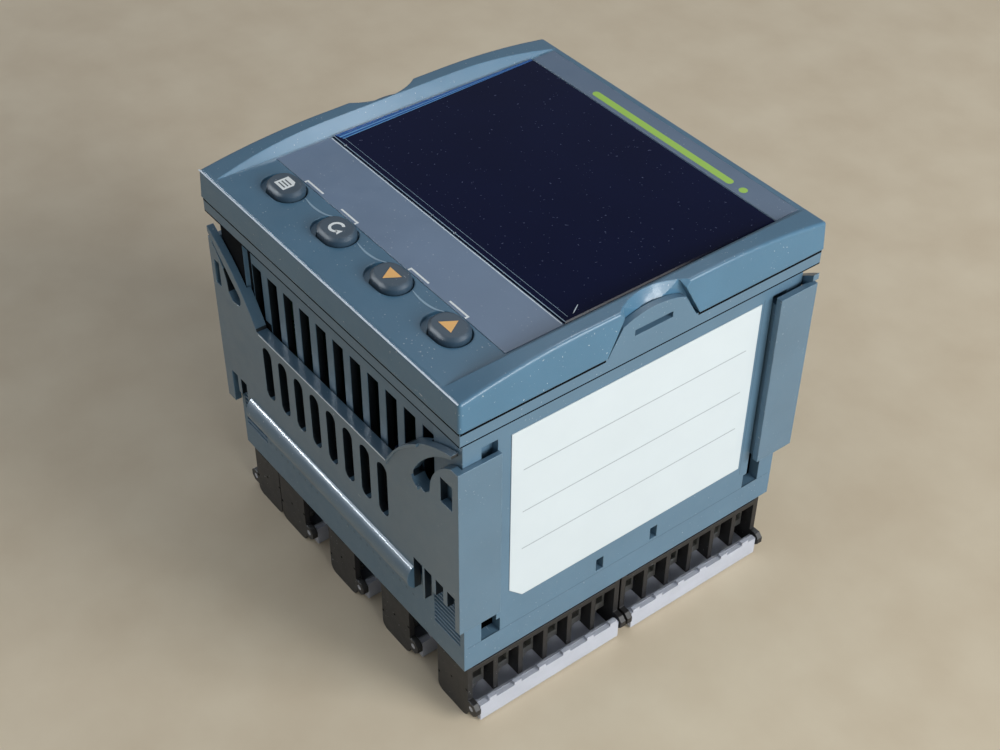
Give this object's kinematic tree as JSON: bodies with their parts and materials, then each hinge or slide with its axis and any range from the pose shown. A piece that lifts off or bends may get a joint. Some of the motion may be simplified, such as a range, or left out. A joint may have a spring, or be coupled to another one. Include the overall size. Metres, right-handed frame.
{
  "type": "pid temperature controller",
  "caption": "Square panel-mounted temperature controller with a dark display, oval keys, a vented sleeve, sliding panel clips and rows of covered screw terminals at the rear.",
  "frame": {"origin": "centre of the footprint, at the rear ends of the terminal blocks, which it stands on", "axes": "+Z out of the front, +Y towards the upper edge of the front, +X towards the labelled side"},
  "size_m": [0.0965, 0.0984, 0.1013],
  "materials": {
    "bezel_plastic": "moulded, fine satin",
    "key_plastic": "moulded, satin",
    "display_lens": "polished dark blue",
    "legend_overlay": "printed film",
    "strip_overlay": "printed film with a plain stripe",
    "seal_rubber": "moulded",
    "sleeve_plastic": "moulded, light satin",
    "clip_plastic": "moulded, light satin",
    "terminal_plastic": "moulded black",
    "cover_clear": "clear moulded",
    "screw_steel": "plated",
    "clamp_steel": "plated",
    "label_film": "blank film",
    "carrier_plastic": "moulded",
    "lcd_glass": "flat",
    "light_guide": "moulded",
    "circuit_board": "lacquered laminate",
    "mat_rubber": "silicone",
    "header_plastic": "moulded",
    "core_steel": "laminated",
    "coil_wire": "taped winding",
    "capacitor_can": "sleeved",
    "relay_case": "moulded",
    "chip_plastic": "moulded"
  },
  "bodies": {
    "instrument": {"backlight": "light_guide", "bezel_seal": "seal_rubber", "board_headers": "header_plastic", "capacitors": "capacitor_can", "chips": "chip_plastic", "comms_board": "circuit_board", "display_board": "circuit_board", "display_carrier": "carrier_plastic", "display_window": "display_lens", "front_bezel": "bezel_plastic", "keypad_board": "circuit_board", "keypad_mat": "mat_rubber", "lcd_module": "lcd_glass", "legend_panel": "legend_overlay", "main_board": "circuit_board", "output_board": "circuit_board", "power_board": "circuit_board", "rating_label": "label_film", "relays": "relay_case", "sleeve": "sleeve_plastic", "terminal_block_1": "terminal_plastic", "terminal_block_10": "terminal_plastic", "terminal_block_2": "terminal_plastic", "terminal_block_3": "terminal_plastic", "terminal_block_4": "terminal_plastic", "terminal_block_5": "terminal_plastic", "terminal_block_6": "terminal_plastic", "terminal_block_7": "terminal_plastic", "terminal_block_8": "terminal_plastic", "terminal_block_9": "terminal_plastic", "terminal_screws": "screw_steel", "transformer_coil": "coil_wire", "transformer_core": "core_steel", "upper_strip": "strip_overlay", "wire_clamps": "clamp_steel"},
    "page_button_body": {"page_button": "key_plastic"},
    "scroll_button_body": {"scroll_button": "key_plastic"},
    "down_button_body": {"down_button": "key_plastic"},
    "up_button_body": {"up_button": "key_plastic"},
    "clip_bottom_body": {"clip_bottom": "clip_plastic"},
    "clip_top_body": {"clip_top": "clip_plastic"},
    "terminal_cover_1_body": {"terminal_cover_1": "cover_clear"},
    "terminal_cover_2_body": {"terminal_cover_2": "cover_clear"},
    "terminal_cover_3_body": {"terminal_cover_3": "cover_clear"},
    "terminal_cover_4_body": {"terminal_cover_4": "cover_clear"},
    "terminal_cover_5_body": {"terminal_cover_5": "cover_clear"},
    "terminal_cover_6_body": {"terminal_cover_6": "cover_clear"},
    "terminal_cover_7_body": {"terminal_cover_7": "cover_clear"},
    "terminal_cover_8_body": {"terminal_cover_8": "cover_clear"},
    "terminal_cover_9_body": {"terminal_cover_9": "cover_clear"},
    "terminal_cover_10_body": {"terminal_cover_10": "cover_clear"}
  },
  "joints": [
    {"name": "page_button_press", "type": "slide", "parent": "instrument", "child": "page_button_body", "axis": [0, 0, -1], "range_m": [0, 0.0008], "stiffness_N_per_m": 1500, "springref_m": -0.0002},
    {"name": "scroll_button_press", "type": "slide", "parent": "instrument", "child": "scroll_button_body", "axis": [0, 0, -1], "range_m": [0, 0.0008], "stiffness_N_per_m": 1500, "springref_m": -0.0002},
    {"name": "down_button_press", "type": "slide", "parent": "instrument", "child": "down_button_body", "axis": [0, 0, -1], "range_m": [0, 0.0008], "stiffness_N_per_m": 1500, "springref_m": -0.0002},
    {"name": "up_button_press", "type": "slide", "parent": "instrument", "child": "up_button_body", "axis": [0, 0, -1], "range_m": [0, 0.0008], "stiffness_N_per_m": 1500, "springref_m": -0.0002},
    {"name": "clip_bottom_slide", "type": "slide", "parent": "instrument", "child": "clip_bottom_body", "axis": [0, 0, 1], "range_m": [-0.0068, 0.0042]},
    {"name": "clip_top_slide", "type": "slide", "parent": "instrument", "child": "clip_top_body", "axis": [0, 0, 1], "range_m": [-0.0093, 0.0018]},
    {"name": "terminal_cover_1_hinge", "type": "hinge", "parent": "instrument", "child": "terminal_cover_1_body", "pos_m": [-0.0464, -0.0221, 0.0042], "axis": [0, 1, 0], "range_deg": [0, 90]},
    {"name": "terminal_cover_2_hinge", "type": "hinge", "parent": "instrument", "child": "terminal_cover_2_body", "pos_m": [-0.0464, 0.0221, 0.0042], "axis": [0, 1, 0], "range_deg": [0, 90]},
    {"name": "terminal_cover_3_hinge", "type": "hinge", "parent": "instrument", "child": "terminal_cover_3_body", "pos_m": [-0.0213, -0.0221, 0.0042], "axis": [0, -1, 0], "range_deg": [0, 90]},
    {"name": "terminal_cover_4_hinge", "type": "hinge", "parent": "instrument", "child": "terminal_cover_4_body", "pos_m": [-0.0213, 0.0221, 0.0042], "axis": [0, -1, 0], "range_deg": [0, 90]},
    {"name": "terminal_cover_5_hinge", "type": "hinge", "parent": "instrument", "child": "terminal_cover_5_body", "pos_m": [0.001, -0.0221, 0.0042], "axis": [0, -1, 0], "range_deg": [0, 90]},
    {"name": "terminal_cover_6_hinge", "type": "hinge", "parent": "instrument", "child": "terminal_cover_6_body", "pos_m": [0.001, 0.0221, 0.0042], "axis": [0, -1, 0], "range_deg": [0, 90]},
    {"name": "terminal_cover_7_hinge", "type": "hinge", "parent": "instrument", "child": "terminal_cover_7_body", "pos_m": [0.0233, -0.0221, 0.0042], "axis": [0, -1, 0], "range_deg": [0, 90]},
    {"name": "terminal_cover_8_hinge", "type": "hinge", "parent": "instrument", "child": "terminal_cover_8_body", "pos_m": [0.0233, 0.0221, 0.0042], "axis": [0, -1, 0], "range_deg": [0, 90]},
    {"name": "terminal_cover_9_hinge", "type": "hinge", "parent": "instrument", "child": "terminal_cover_9_body", "pos_m": [0.0456, -0.0221, 0.0042], "axis": [0, -1, 0], "range_deg": [0, 90]},
    {"name": "terminal_cover_10_hinge", "type": "hinge", "parent": "instrument", "child": "terminal_cover_10_body", "pos_m": [0.0456, 0.0221, 0.0042], "axis": [0, -1, 0], "range_deg": [0, 90]}
  ]
}
